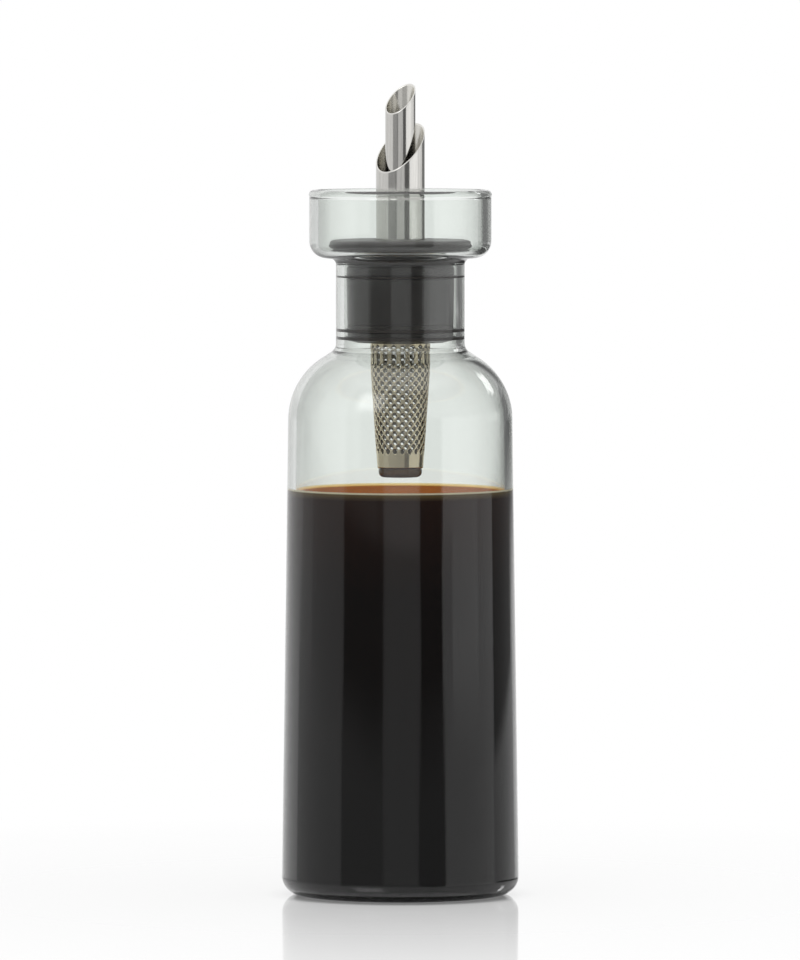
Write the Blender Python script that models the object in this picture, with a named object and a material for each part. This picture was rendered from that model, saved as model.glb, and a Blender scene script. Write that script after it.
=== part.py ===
"""Glass vinegar dispenser with a drip cup, a two-tube pouring stopper and a strainer.

Everything is turned about the world Z axis. The bottle stands on Z = 0, and the high
side of the slanted spouts points to the back right.
"""

import math

import bmesh
import bpy
from mathutils import Vector


# Driving dimensions, in metres and degrees.

# Glass body
BASE_RADIUS = 0.0350
BASE_CORNER = 0.0053
BASE_THICKNESS = 0.0042
FOOT_RING_WIDTH = 0.0037
PUSH_UP_HEIGHT = 0.0012
SIDE_HEIGHT = 0.1406
SIDE_TOP_RADIUS = 0.0331
BODY_WALL = 0.0024
INNER_BASE_CORNER = 0.0045

# Shoulder and neck
SHOULDER_ROUND = 0.0216
SHOULDER_SLOPE = 57.0
NECK_RADIUS = 0.0190
NECK_WALL = 0.0024
NECK_ROOT_FILLET = 0.0030
NECK_LENGTH = 0.0230
NECK_TOP_FILLET = 0.0021

# Drip cup
CUP_RADIUS = 0.02685
CUP_WALL = 0.0025
CUP_DEPTH = 0.0180
CUP_FLOOR_THICKNESS = 0.0021
CUP_CORNER = 0.0050
MOUTH_FILLET = 0.0020
RIM_BEAD_RADIUS = 0.0015
RIM_BEAD_PROUD = 0.00015

# Stopper
FLANGE_THICKNESS = 0.0029
FLANGE_EDGE_ROUND = 0.0013
FLANGE_TO_CUP_WALL = 0.00325
SEAT_DEPTH = 0.0040
SEAT_TAPER = 0.0012
PLUG_DEPTH = 0.0271
PLUG_TO_GLASS = 0.0013
PLUG_TAPER = 0.0003
PLUG_SHOULDER = 0.0012
HUB_WALL = 0.0024
SPIGOT_LENGTH = 0.0061
SPIGOT_BORE_WALL = 0.0020
HUB_CHAMFER = 0.0012
TUBE_LEDGE_HEIGHT = 0.0092
TUBE_LEDGE_WIDTH = 0.0013

# Seals
UPPER_SEAL_LAND = 0.00115
UPPER_SEAL_THICKNESS = 0.0009
UPPER_SEAL_GROOVE = 0.0010
LOWER_SEAL_HEIGHT = 0.0054
LIP_THICKNESS = 0.0011
LIP_SPACING = 0.0023
LIP_EDGE = 0.0005

# Spouts
OUTER_SPOUT_RADIUS = 0.0072
INNER_SPOUT_RADIUS = 0.00445
TUBE_WALL = 0.0005
OUTER_SPOUT_HEIGHT = 0.0304
INNER_SPOUT_HEIGHT = 0.0448
MOUTH_SLANT = 45.3
MOUTH_RISE_DIRECTION = 50.6

# Tube spacer
SPACER_HEIGHT = 0.0077
SPACER_WALL = 0.0006
SPACER_LEDGE = 0.0012
SPACER_FIN_WIDTH = 0.0010
SPACER_FINS = 3

# Strainer
STRAINER_RIM_RADIUS = 0.0089
STRAINER_WAIST_RADIUS = 0.0087
STRAINER_FOOT_RADIUS = 0.0068
STRAINER_SHEET = 0.0004
STRAINER_ENGAGEMENT = 0.0033
STRAINER_RIM_HEIGHT = 0.0026
STRAINER_WAIST_DEPTH = 0.0090
STRAINER_DEPTH = 0.0370
STRAINER_BAND = 0.0052
HOLES_AROUND = 14
HOLE_ROWS = 14
HOLE_SHARE = 0.56

# Strainer cap
CAP_HEIGHT = 0.0023
CAP_CORNER = 0.0015
CAP_SPIGOT = 0.0034
CAP_WALL = 0.0012

# Filling
SURFACE_BELOW_CAP = 0.0042

# Gap between neighbouring pieces
FIT_GAP = 0.0003

# Flats round a turned piece, and steps along the rounds of its profile
GLASS_FACETS = 44
STOPPER_FACETS = 36
TUBE_FACETS = 28
SHOULDER_STEPS = 6
BEAD_STEPS = 7
CORNER_STEPS = 4
FILLET_STEPS = 3
SPACER_ARC_STEPS = 5
SHARP_EDGE_ANGLE = 30.0


# Sizes that follow from the driving ones.

# Shoulder: a round that starts square to the tapered side, a cone, and a fillet to the neck
side_lean = math.atan2(BASE_RADIUS - SIDE_TOP_RADIUS, SIDE_HEIGHT - BASE_CORNER)
shoulder_centre_r = SIDE_TOP_RADIUS - SHOULDER_ROUND * math.cos(side_lean)
shoulder_centre_z = SIDE_HEIGHT - SHOULDER_ROUND * math.sin(side_lean)
tangent_cosine = (NECK_RADIUS + NECK_ROOT_FILLET - shoulder_centre_r) / (SHOULDER_ROUND + NECK_ROOT_FILLET)
shoulder_end = min(math.radians(SHOULDER_SLOPE), math.acos(tangent_cosine))
cone_start_r = shoulder_centre_r + SHOULDER_ROUND * math.cos(shoulder_end)
cone_start_z = shoulder_centre_z + SHOULDER_ROUND * math.sin(shoulder_end)
fillet_start_r = NECK_RADIUS + NECK_ROOT_FILLET * (1 - math.cos(shoulder_end))
cone_length = (cone_start_r - fillet_start_r) / math.sin(shoulder_end)
neck_root_z = cone_start_z + cone_length * math.cos(shoulder_end) + NECK_ROOT_FILLET * math.sin(shoulder_end)

# Neck and cup
bore_radius = NECK_RADIUS - NECK_WALL
cup_underside_z = neck_root_z + NECK_LENGTH + NECK_TOP_FILLET
cup_floor_z = cup_underside_z + CUP_FLOOR_THICKNESS
cup_rim_z = cup_floor_z + CUP_DEPTH
cup_inner_radius = CUP_RADIUS - CUP_WALL
cup_corner = min(CUP_CORNER, CUP_RADIUS - NECK_RADIUS - NECK_TOP_FILLET)
cup_inner_corner = cup_corner / 2

# Inner shoulder, parallel to the outer one
inner_round = SHOULDER_ROUND - BODY_WALL
inner_cone_r = shoulder_centre_r + inner_round * math.cos(shoulder_end)
inner_cone_z = shoulder_centre_z + inner_round * math.sin(shoulder_end)
bore_foot_z = inner_cone_z + (inner_cone_r - bore_radius) / math.tan(shoulder_end)

# Stopper
flange_radius = cup_inner_radius - FLANGE_TO_CUP_WALL
flange_bottom_z = cup_floor_z + FIT_GAP
flange_top_z = flange_bottom_z + FLANGE_THICKNESS
seat_bottom_z = cup_floor_z - SEAT_DEPTH
plug_bottom_z = cup_floor_z - PLUG_DEPTH
plug_top_z = seat_bottom_z - FIT_GAP
plug_radius = bore_radius - PLUG_TO_GLASS
hub_bore = OUTER_SPOUT_RADIUS + FIT_GAP
hub_radius = hub_bore + HUB_WALL
spigot_radius = STRAINER_RIM_RADIUS - STRAINER_SHEET - FIT_GAP
spigot_top_z = plug_bottom_z + SPIGOT_LENGTH
spigot_bore = spigot_radius - SPIGOT_BORE_WALL
tube_ledge_z = plug_bottom_z + TUBE_LEDGE_HEIGHT
ledge_bore = hub_bore - TUBE_LEDGE_WIDTH - FIT_GAP
plug_bore = hub_radius + FIT_GAP
strainer_socket = STRAINER_RIM_RADIUS + FIT_GAP
seal_lip_radius = bore_radius - FIT_GAP
seal_step_radius = (plug_bore + plug_radius) / 2

# Seat of the stopper: a cone at half a right angle, one fit gap clear of the mouth's fillet
seat_radius = bore_radius - FIT_GAP
seat_reach = (MOUTH_FILLET + FIT_GAP) * math.sqrt(0.5)
seat_touch_r = bore_radius + MOUTH_FILLET - seat_reach
seat_touch_z = cup_floor_z - MOUTH_FILLET + seat_reach
seat_cone_top_r = seat_touch_r + flange_bottom_z - seat_touch_z
seat_cone_foot_z = seat_touch_z - (seat_touch_r - seat_radius)

# Seals
half_groove = UPPER_SEAL_THICKNESS / 2 + FIT_GAP
upper_seal_z = plug_top_z - PLUG_SHOULDER - UPPER_SEAL_LAND - half_groove
upper_groove_radius = plug_radius - UPPER_SEAL_GROOVE
lower_seal_top_z = plug_bottom_z + LOWER_SEAL_HEIGHT

# Strainer
strainer_top_z = plug_bottom_z + STRAINER_ENGAGEMENT
strainer_foot_z = plug_bottom_z - STRAINER_DEPTH
strainer_waist_z = plug_bottom_z - STRAINER_WAIST_DEPTH
holes_top_z = plug_bottom_z - STRAINER_RIM_HEIGHT
holes_bottom_z = strainer_foot_z + STRAINER_BAND
cap_bottom_z = strainer_foot_z - FIT_GAP - CAP_HEIGHT
surface_z = cap_bottom_z - SURFACE_BELOW_CAP


# Building helpers.


def clear_scene():
    for old in list(bpy.data.objects):
        bpy.data.objects.remove(old, do_unlink=True)


def make_material(name, color, roughness, metallic=0.0, transmission=0.0):
    material = bpy.data.materials.new(name)
    material.use_nodes = True
    shader = material.node_tree.nodes["Principled BSDF"]
    shader.inputs["Base Color"].default_value = (*color, 1.0)
    shader.inputs["Roughness"].default_value = roughness
    shader.inputs["Metallic"].default_value = metallic
    shader.inputs["Transmission Weight"].default_value = transmission
    material.diffuse_color = (*color, 1.0)
    return material


def arc(centre_r, centre_z, radius, start, end, steps):
    """Points of a round in the profile, from one angle to another in degrees."""
    points = []
    for step in range(steps + 1):
        angle = math.radians(start + (end - start) * step / steps)
        points.append((centre_r + radius * math.cos(angle), centre_z + radius * math.sin(angle)))
    return points


def turn_profile(profile, facets, closed):
    """Spin a profile of (radius, height) points round Z and return the closed bmesh."""
    mesh = bmesh.new()
    rows = [mesh.verts.new((radius, 0.0, height)) for radius, height in profile]
    edges = [mesh.edges.new(pair) for pair in zip(rows, rows[1:])]
    if closed:
        edges.append(mesh.edges.new((rows[-1], rows[0])))
    bmesh.ops.spin(
        mesh,
        geom=rows + edges,
        cent=(0.0, 0.0, 0.0),
        axis=(0.0, 0.0, 1.0),
        angle=math.tau,
        steps=facets,
        use_merge=True,
    )
    bmesh.ops.remove_doubles(mesh, verts=mesh.verts[:], dist=1e-6)
    bmesh.ops.recalc_face_normals(mesh, faces=mesh.faces[:])
    return mesh


def add_piece(name, mesh, material, parent=None):
    """Turn a bmesh into a named object that keeps its place under its parent."""
    data = bpy.data.meshes.new(name)
    mesh.to_mesh(data)
    mesh.free()
    data.shade_smooth()
    data.set_sharp_from_angle(angle=math.radians(SHARP_EDGE_ANGLE))
    data.materials.append(material)
    piece = bpy.data.objects.new(name, data)
    bpy.context.scene.collection.objects.link(piece)
    if parent is not None:
        piece.parent = parent
        piece.matrix_parent_inverse = parent.matrix_world.inverted()
    return piece


def add_axis(name, height, parent=None):
    """An empty on the common axis that carries the pieces of one moving group."""
    axis = bpy.data.objects.new(name, None)
    axis.empty_display_type = "SINGLE_ARROW"
    axis.empty_display_size = BASE_RADIUS
    bpy.context.scene.collection.objects.link(axis)
    axis.location = (0.0, 0.0, height)
    bpy.context.view_layer.update()
    if parent is not None:
        axis.parent = parent
        axis.matrix_parent_inverse = parent.matrix_world.inverted()
        bpy.context.view_layer.update()
    return axis


# Bottle and filling.


def inner_side_radius(height):
    """Radius of the glass body's inner wall where the side is straight."""
    share = (height - BASE_CORNER) / (SIDE_HEIGHT - BASE_CORNER)
    return BASE_RADIUS + (SIDE_TOP_RADIUS - BASE_RADIUS) * share - BODY_WALL


def push_up(radius, edge_radius):
    """Height of the hollow base's crown, which is nothing at its edge."""
    return PUSH_UP_HEIGHT * (1 - (radius / edge_radius) ** 2)


def inner_floor_profile(offset):
    """Inner floor from the axis to the side, moved into the bottle by an offset."""
    floor_z = BASE_THICKNESS + offset
    corner = INNER_BASE_CORNER
    edge_r = inner_side_radius(floor_z + corner) - offset - corner
    points = [(radius, floor_z + push_up(radius, edge_r)) for radius in (0.0, edge_r / 2)]
    return points + arc(edge_r, floor_z + corner, corner, -90, 0, CORNER_STEPS)


def build_bottle(material):
    foot_outer = BASE_RADIUS - BASE_CORNER
    foot_inner = foot_outer - FOOT_RING_WIDTH
    slope = math.degrees(shoulder_end)
    lean = math.degrees(side_lean)

    outer = [(radius, push_up(radius, foot_inner)) for radius in (0.0, foot_inner / 2, foot_inner)]
    outer += arc(foot_outer, BASE_CORNER, BASE_CORNER, -90, 0, CORNER_STEPS)
    outer += arc(shoulder_centre_r, shoulder_centre_z, SHOULDER_ROUND, lean, slope, SHOULDER_STEPS)
    root_r = NECK_RADIUS + NECK_ROOT_FILLET
    outer += arc(root_r, neck_root_z, NECK_ROOT_FILLET, 180 + slope, 180, FILLET_STEPS)
    fillet_z = cup_underside_z - NECK_TOP_FILLET
    outer += arc(NECK_RADIUS + NECK_TOP_FILLET, fillet_z, NECK_TOP_FILLET, 180, 90, FILLET_STEPS)
    outer += arc(CUP_RADIUS - cup_corner, cup_underside_z + cup_corner, cup_corner, -90, 0, CORNER_STEPS)

    bead_r = CUP_RADIUS + RIM_BEAD_PROUD - RIM_BEAD_RADIUS
    bead_z = cup_rim_z - RIM_BEAD_RADIUS
    bead_start = -math.degrees(math.acos((CUP_RADIUS - bead_r) / RIM_BEAD_RADIUS))
    bead_end = 180 + math.degrees(math.acos(min(1.0, (bead_r - cup_inner_radius) / RIM_BEAD_RADIUS)))
    rim = arc(bead_r, bead_z, RIM_BEAD_RADIUS, bead_start, bead_end, BEAD_STEPS)

    floor_edge_r = cup_inner_radius - cup_inner_corner
    inner = arc(floor_edge_r, cup_floor_z + cup_inner_corner, cup_inner_corner, 0, -90, FILLET_STEPS)
    inner += arc(bore_radius + MOUTH_FILLET, cup_floor_z - MOUTH_FILLET, MOUTH_FILLET, 90, 180, FILLET_STEPS)
    inner.append((bore_radius, bore_foot_z))
    inner += arc(shoulder_centre_r, shoulder_centre_z, inner_round, slope, lean, SHOULDER_STEPS)
    inner += list(reversed(inner_floor_profile(0.0)))

    mesh = turn_profile(outer + rim + inner, GLASS_FACETS, closed=False)
    return add_piece("glass_bottle", mesh, material)


def build_vinegar(material):
    profile = inner_floor_profile(FIT_GAP)
    surface_r = inner_side_radius(surface_z) - FIT_GAP
    profile += [(surface_r, surface_z), (0.0, surface_z)]
    mesh = turn_profile(profile, GLASS_FACETS, closed=False)
    return add_piece("vinegar", mesh, material)


# Stopper.


def build_flange(material, parent):
    """Disc on the cup's floor, the seat in the mouth, and the hub that holds the tubes."""
    edge = min(FLANGE_EDGE_ROUND, FLANGE_THICKNESS / 2, flange_radius - seat_cone_top_r)
    profile = [(hub_bore, flange_top_z)]
    profile += arc(flange_radius - edge, flange_top_z - edge, edge, 90, 0, FILLET_STEPS)
    profile += arc(flange_radius - edge, flange_bottom_z + edge, edge, 0, -90, FILLET_STEPS)
    profile += [
        (seat_cone_top_r, flange_bottom_z),
        (seat_radius, seat_cone_foot_z),
        (seat_radius, seat_bottom_z + SEAT_TAPER),
        (seat_radius - SEAT_TAPER, seat_bottom_z),
        (hub_radius, seat_bottom_z),
        (hub_radius, spigot_top_z),
        (spigot_radius, spigot_top_z),
        (spigot_radius, plug_bottom_z),
        (spigot_bore, plug_bottom_z),
        (spigot_bore, spigot_top_z - HUB_CHAMFER),
        (ledge_bore, spigot_top_z),
        (ledge_bore, tube_ledge_z),
        (hub_bore, tube_ledge_z),
    ]
    return add_piece("stopper_flange", turn_profile(profile, STOPPER_FACETS, closed=True), material, parent)


def build_plug(material, parent):
    """Sleeve round the hub, with a groove for the upper seal and a step for the lower one."""
    foot_r = plug_radius - PLUG_TAPER
    step_z = lower_seal_top_z + FIT_GAP
    shoulder_r = plug_radius - PLUG_SHOULDER
    profile = [(plug_bore, plug_top_z)]
    profile += arc(shoulder_r, plug_top_z - PLUG_SHOULDER, PLUG_SHOULDER, 90, 0, FILLET_STEPS)
    profile += [
        (plug_radius, upper_seal_z + half_groove),
        (upper_groove_radius, upper_seal_z + half_groove),
        (upper_groove_radius, upper_seal_z - half_groove),
        (plug_radius, upper_seal_z - half_groove),
        (foot_r, step_z),
        (seal_step_radius, step_z),
        (seal_step_radius, plug_bottom_z),
        (strainer_socket, plug_bottom_z),
        (strainer_socket, spigot_top_z - FIT_GAP),
        (plug_bore, spigot_top_z - FIT_GAP),
    ]
    return add_piece("stopper_plug", turn_profile(profile, STOPPER_FACETS, closed=True), material, parent)


def build_upper_seal(material, parent):
    half = UPPER_SEAL_THICKNESS / 2
    profile = [
        (upper_groove_radius + FIT_GAP, upper_seal_z + half),
        (plug_radius, upper_seal_z + half),
        (seal_lip_radius, upper_seal_z + LIP_EDGE / 2),
        (seal_lip_radius, upper_seal_z - LIP_EDGE / 2),
        (plug_radius, upper_seal_z - half),
        (upper_groove_radius + FIT_GAP, upper_seal_z - half),
    ]
    return add_piece("upper_seal", turn_profile(profile, STOPPER_FACETS, closed=True), material, parent)


def build_lower_seal(material, parent):
    """Ring with two lips that lean upwards where they meet the glass."""
    ring_r = plug_radius - PLUG_TAPER
    profile = [(seal_step_radius + FIT_GAP, lower_seal_top_z), (ring_r, lower_seal_top_z)]
    for lip in range(2):
        lip_z = lower_seal_top_z - LIP_THICKNESS - lip * LIP_SPACING
        profile += [
            (ring_r, lip_z + LIP_THICKNESS / 2),
            (seal_lip_radius, lip_z + LIP_THICKNESS / 2),
            (seal_lip_radius, lip_z + LIP_THICKNESS / 2 - LIP_EDGE),
            (ring_r, lip_z - LIP_THICKNESS / 2),
        ]
    profile += [(ring_r, plug_bottom_z), (seal_step_radius + FIT_GAP, plug_bottom_z)]
    return add_piece("lower_seal", turn_profile(profile, STOPPER_FACETS, closed=True), material, parent)


# Spouts.


def build_spout(name, radius, bottom_z, mouth_z, material, parent):
    """Thin tube with its mouth cut on the slant, high side to the back right."""
    top_z = mouth_z + 2 * radius * math.tan(math.radians(MOUTH_SLANT))
    inner_r = radius - TUBE_WALL
    profile = [(inner_r, top_z), (radius, top_z), (radius, bottom_z), (inner_r, bottom_z)]
    tube = turn_profile(profile, TUBE_FACETS, closed=True)
    slant = math.radians(MOUTH_SLANT)
    rise = math.radians(MOUTH_RISE_DIRECTION)
    normal = Vector((-math.sin(slant) * math.cos(rise), -math.sin(slant) * math.sin(rise), math.cos(slant)))
    bmesh.ops.bisect_plane(
        tube,
        geom=tube.verts[:] + tube.edges[:] + tube.faces[:],
        dist=1e-7,
        plane_co=(0.0, 0.0, mouth_z),
        plane_no=normal,
        clear_outer=True,
    )
    bmesh.ops.bridge_loops(tube, edges=[edge for edge in tube.edges if edge.is_boundary])
    bmesh.ops.recalc_face_normals(tube, faces=tube.faces[:])
    return add_piece(name, tube, material, parent)


def build_spacer(material, parent):
    """Bush round the foot of the inner tube, with fins out to the outer tube."""
    bottom_z = tube_ledge_z + FIT_GAP
    top_z = bottom_z + SPACER_HEIGHT
    bore = INNER_SPOUT_RADIUS + FIT_GAP
    wall_r = bore + SPACER_WALL
    fin_r = OUTER_SPOUT_RADIUS - TUBE_WALL - FIT_GAP
    outline = []
    bore_angles = []
    for fin in range(SPACER_FINS):
        middle = math.radians(MOUTH_RISE_DIRECTION) + math.tau * fin / SPACER_FINS
        half_foot = math.asin(SPACER_FIN_WIDTH / 2 / wall_r)
        half_tip = math.asin(SPACER_FIN_WIDTH / 2 / fin_r)
        outline += [(wall_r, middle - half_foot), (fin_r, middle - half_tip)]
        outline += [(fin_r, middle + half_tip), (wall_r, middle + half_foot)]
        bore_angles += [middle - half_foot, middle - half_tip, middle + half_tip, middle + half_foot]
        open_angle = math.tau / SPACER_FINS - 2 * half_foot
        for step in range(1, SPACER_ARC_STEPS):
            angle = middle + half_foot + open_angle * step / SPACER_ARC_STEPS
            outline.append((wall_r, angle))
            bore_angles.append(angle)

    mesh = bmesh.new()

    def ring(points, height):
        return [mesh.verts.new((r * math.cos(a), r * math.sin(a), height)) for r, a in points]

    ledge_z = bottom_z + SPACER_LEDGE
    ledge_points = [(INNER_SPOUT_RADIUS - TUBE_WALL, angle) for angle in bore_angles]
    bore_points = [(bore, angle) for angle in bore_angles]
    rings = [
        ring(outline, bottom_z),
        ring(outline, top_z),
        ring(bore_points, top_z),
        ring(bore_points, ledge_z),
        ring(ledge_points, ledge_z),
        ring(ledge_points, bottom_z),
    ]
    for lower, upper in zip(rings, rings[1:] + rings[:1]):
        for index in range(len(lower)):
            following = (index + 1) % len(lower)
            mesh.faces.new((lower[index], lower[following], upper[following], upper[index]))
    bmesh.ops.recalc_face_normals(mesh, faces=mesh.faces[:])
    return add_piece("tube_spacer", mesh, material, parent)


# Strainer.


def strainer_radius(height):
    """Outer radius of the strainer: nearly straight to the waist, then tapered."""
    if height >= holes_top_z:
        return STRAINER_RIM_RADIUS
    if height >= strainer_waist_z:
        share = (holes_top_z - height) / (holes_top_z - strainer_waist_z)
        return STRAINER_RIM_RADIUS + (STRAINER_WAIST_RADIUS - STRAINER_RIM_RADIUS) * share
    share = (strainer_waist_z - height) / (strainer_waist_z - strainer_foot_z)
    return STRAINER_WAIST_RADIUS + (STRAINER_FOOT_RADIUS - STRAINER_WAIST_RADIUS) * share


def build_strainer(material, parent):
    """Rolled sheet with staggered rows of holes between a plain rim and a plain band."""
    mesh = bmesh.new()
    columns = 2 * HOLES_AROUND
    row_step = (holes_top_z - holes_bottom_z) / (HOLE_ROWS + 1)

    def sheet_point(column, height):
        angle = math.tau * column / columns
        radius = strainer_radius(height)
        return mesh.verts.new((radius * math.cos(angle), radius * math.sin(angle), height))

    def row_height(row):
        return holes_top_z - (row + 1) * row_step

    lattice = {}
    for row in range(-1, HOLE_ROWS + 1):
        at_edge = row in (-1, HOLE_ROWS)
        for column in range(columns):
            if at_edge or (row + column) % 2 == 1:
                lattice[row, column] = sheet_point(column, row_height(row))

    def corner(row, column):
        return lattice[row, column % columns]

    for row in range(HOLE_ROWS):
        for column in range(row % 2, columns, 2):
            outer = [(row, column + 1), (row - 1, column), (row, column - 1), (row + 1, column)]
            tile = [corner(*place) for place in outer]
            hole = []
            for place_row, place_column in outer:
                across = column + (place_column - column) * HOLE_SHARE
                along = row_height(row + (place_row - row) * HOLE_SHARE)
                hole.append(sheet_point(across, along))
            for side in range(4):
                after = (side + 1) % 4
                mesh.faces.new((tile[side], tile[after], hole[after], hole[side]))

    for edge_row, next_row in ((-1, 0), (HOLE_ROWS, HOLE_ROWS - 1)):
        for column in range(columns):
            if (next_row + column) % 2 == 1:
                point = corner(next_row, column)
                mesh.faces.new((corner(edge_row, column - 1), corner(edge_row, column), point))
                mesh.faces.new((corner(edge_row, column), corner(edge_row, column + 1), point))

    for edge_row, end_z in ((-1, strainer_top_z), (HOLE_ROWS, strainer_foot_z)):
        end_ring = [sheet_point(column, end_z) for column in range(columns)]
        for column in range(columns):
            after = (column + 1) % columns
            edge = (corner(edge_row, column), corner(edge_row, after))
            mesh.faces.new((*edge, end_ring[after], end_ring[column]))

    bmesh.ops.recalc_face_normals(mesh, faces=mesh.faces[:])
    strainer = add_piece("strainer", mesh, material, parent)
    sheet = strainer.modifiers.new("sheet thickness", "SOLIDIFY")
    sheet.thickness = STRAINER_SHEET
    sheet.offset = -1.0
    return strainer


def build_cap(material, parent):
    """Hollow end cap, pushed into the foot of the strainer."""
    cap_r = STRAINER_FOOT_RADIUS - STRAINER_SHEET
    spigot_r = cap_r - FIT_GAP
    cap_top_z = cap_bottom_z + CAP_HEIGHT
    spigot_top = cap_top_z + CAP_SPIGOT
    corner = min(CAP_CORNER, CAP_HEIGHT)
    profile = [(0.0, cap_bottom_z)]
    profile += arc(cap_r - corner, cap_bottom_z + corner, corner, -90, 0, CORNER_STEPS)
    profile += [
        (cap_r, cap_top_z),
        (spigot_r, cap_top_z),
        (spigot_r, spigot_top),
        (spigot_r - CAP_WALL, spigot_top),
        (spigot_r - CAP_WALL, cap_bottom_z + CAP_WALL),
        (0.0, cap_bottom_z + CAP_WALL),
    ]
    return add_piece("strainer_cap", turn_profile(profile, TUBE_FACETS, closed=False), material, parent)


def build_all():
    clear_scene()
    glass = make_material("clear glass", (0.86, 0.90, 0.88), 0.02, transmission=1.0)
    vinegar = make_material("dark vinegar", (0.030, 0.010, 0.006), 0.05)
    plastic = make_material("dark grey plastic", (0.050, 0.050, 0.047), 0.32)
    silicone = make_material("dark grey silicone", (0.042, 0.036, 0.033), 0.45)
    steel = make_material("polished steel", (0.62, 0.61, 0.58), 0.12, metallic=1.0)
    spacer_plastic = make_material("black plastic", (0.030, 0.030, 0.030), 0.40)

    build_bottle(glass)
    build_vinegar(vinegar)

    lift_axis = add_axis("stopper_lift_axis", cup_floor_z)
    turn_axis = add_axis("stopper_turn_axis", cup_floor_z, lift_axis)
    pull_axis = add_axis("strainer_pull_axis", plug_bottom_z, turn_axis)

    build_upper_seal(silicone, lift_axis)
    build_lower_seal(silicone, lift_axis)
    build_flange(plastic, turn_axis)
    build_plug(plastic, turn_axis)

    outer_bottom_z = tube_ledge_z + FIT_GAP
    inner_bottom_z = outer_bottom_z + SPACER_LEDGE + FIT_GAP
    outer_mouth_z = cup_floor_z + OUTER_SPOUT_HEIGHT
    inner_mouth_z = cup_floor_z + INNER_SPOUT_HEIGHT
    build_spout("outer_spout", OUTER_SPOUT_RADIUS, outer_bottom_z, outer_mouth_z, steel, turn_axis)
    build_spout("inner_spout", INNER_SPOUT_RADIUS, inner_bottom_z, inner_mouth_z, steel, turn_axis)
    build_spacer(spacer_plastic, turn_axis)

    build_strainer(steel, pull_axis)
    build_cap(plastic, pull_axis)


build_all()
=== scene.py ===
"""Looks of the glass vinegar dispenser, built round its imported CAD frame.

Every piece is turned about the world Z axis, in metres. The photograph looks along +Y.
"""

from math import acos, asin, atan2, cos, degrees, exp, pi, radians, sin, tan, tau

import bmesh
import bpy
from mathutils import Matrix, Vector


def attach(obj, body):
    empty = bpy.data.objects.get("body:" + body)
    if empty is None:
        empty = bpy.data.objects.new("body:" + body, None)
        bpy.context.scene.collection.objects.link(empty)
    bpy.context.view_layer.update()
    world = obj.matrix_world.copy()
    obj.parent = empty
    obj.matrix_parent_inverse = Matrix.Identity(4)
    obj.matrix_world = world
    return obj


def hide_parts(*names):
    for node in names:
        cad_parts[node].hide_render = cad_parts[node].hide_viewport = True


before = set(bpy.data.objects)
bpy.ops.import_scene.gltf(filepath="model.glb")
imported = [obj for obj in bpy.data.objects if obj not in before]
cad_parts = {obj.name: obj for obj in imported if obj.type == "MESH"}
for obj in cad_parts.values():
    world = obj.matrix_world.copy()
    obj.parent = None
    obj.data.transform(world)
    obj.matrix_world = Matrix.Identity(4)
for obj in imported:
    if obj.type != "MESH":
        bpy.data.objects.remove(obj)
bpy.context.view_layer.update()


# Glass sizes

BASE_RADIUS = 0.0350
BASE_CORNER = 0.0053
BASE_THICKNESS = 0.0042
FOOT_RING_WIDTH = 0.0037
PUSH_UP_HEIGHT = 0.0012
SIDE_HEIGHT = 0.1406
SIDE_TOP_RADIUS = 0.0331
BODY_WALL = 0.0024
INNER_BASE_CORNER = 0.0045
GLASS_INDEX = 1.5
VINEGAR_INDEX = 1.34
CLEAR_VIEW_DROP = radians(2.2)
SHOULDER_ROUND = 0.0216
SHOULDER_SLOPE = 57.0
NECK_RADIUS = 0.0190
NECK_WALL = BODY_WALL
NECK_ROOT_FILLET = 0.0030
NECK_LENGTH = 0.0230
NECK_TOP_FILLET = 0.0021
BORE_RIDGE_HEIGHT = 0.00005
BORE_RIDGE_WIDTH = 0.00014
BORE_RIDGE_DROP = 0.0019
CUP_RADIUS = 0.02685
CUP_WALL = 0.0025
CUP_DEPTH = 0.0180
CUP_FLOOR_THICKNESS = 0.0021
CUP_CORNER = 0.0050
MOUTH_FILLET = 0.0020
RIM_BEAD_RADIUS = 0.0015
RIM_BEAD_PROUD = 0.00015
BOTTLE_FACETS = 192

# Stopper sizes

FLANGE_RADIUS = 0.0211
FLANGE_THICKNESS = 0.0034
FLANGE_EDGE_DROP = 0.0012
FLANGE_TOP_ROUND = 0.0026
FLANGE_LOWER_ROUND = 0.0025
FLANGE_CORNER = 0.00025
HUB_MOUTH_CHAMFER = 0.0001
SEAT_DEPTH = 0.0040
SEAT_TAPER = 0.0012
PLUG_DEPTH = 0.0271
PLUG_RADIUS = 0.0159
PLUG_FOOT_RADIUS = 0.0156
PLUG_SHOULDER = 0.0012
PLUG_BORE = 0.0102
PLUG_CORNER = 0.00022
HUB_RADIUS = 0.0099
HUB_BORE = 0.0075
LEDGE_BORE = 0.0059
TUBE_LEDGE_HEIGHT = 0.0092
SPIGOT_RADIUS = 0.0082
SPIGOT_BORE = 0.0062
SPIGOT_LENGTH = 0.0061
SPIGOT_MOUTH_TAPER = 0.0012
STRAINER_SOCKET = 0.0092
SOCKET_RING = 0.0005
PLUG_UNDERSIDE_RISE = 0.0002
LIP_RADIUS = 0.01665
UPPER_LIP_EDGE = 0.0005
LOWER_LIP_EDGE = 0.0009
UPPER_LIP_HEIGHT = 0.01958
UPPER_LIP_THICKNESS = 0.0009
UPPER_LIP_ROOT = 0.01515
UPPER_LIP_CORNER = 0.00012
GROOVE_HALF = 0.0005
GROOVE_RADIUS = 0.0151
LOWER_RING_HEIGHT = 0.0054
LOWER_RING_BORE = 0.0132
LOWER_RING_RISE = 0.0003
LOWER_STEP_RADIUS = 0.01305
LOWER_LIP_THICKNESS = 0.0011
LOWER_LIP_SPACING = 0.0023
LOWER_LIP_DROP = 0.0006
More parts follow.
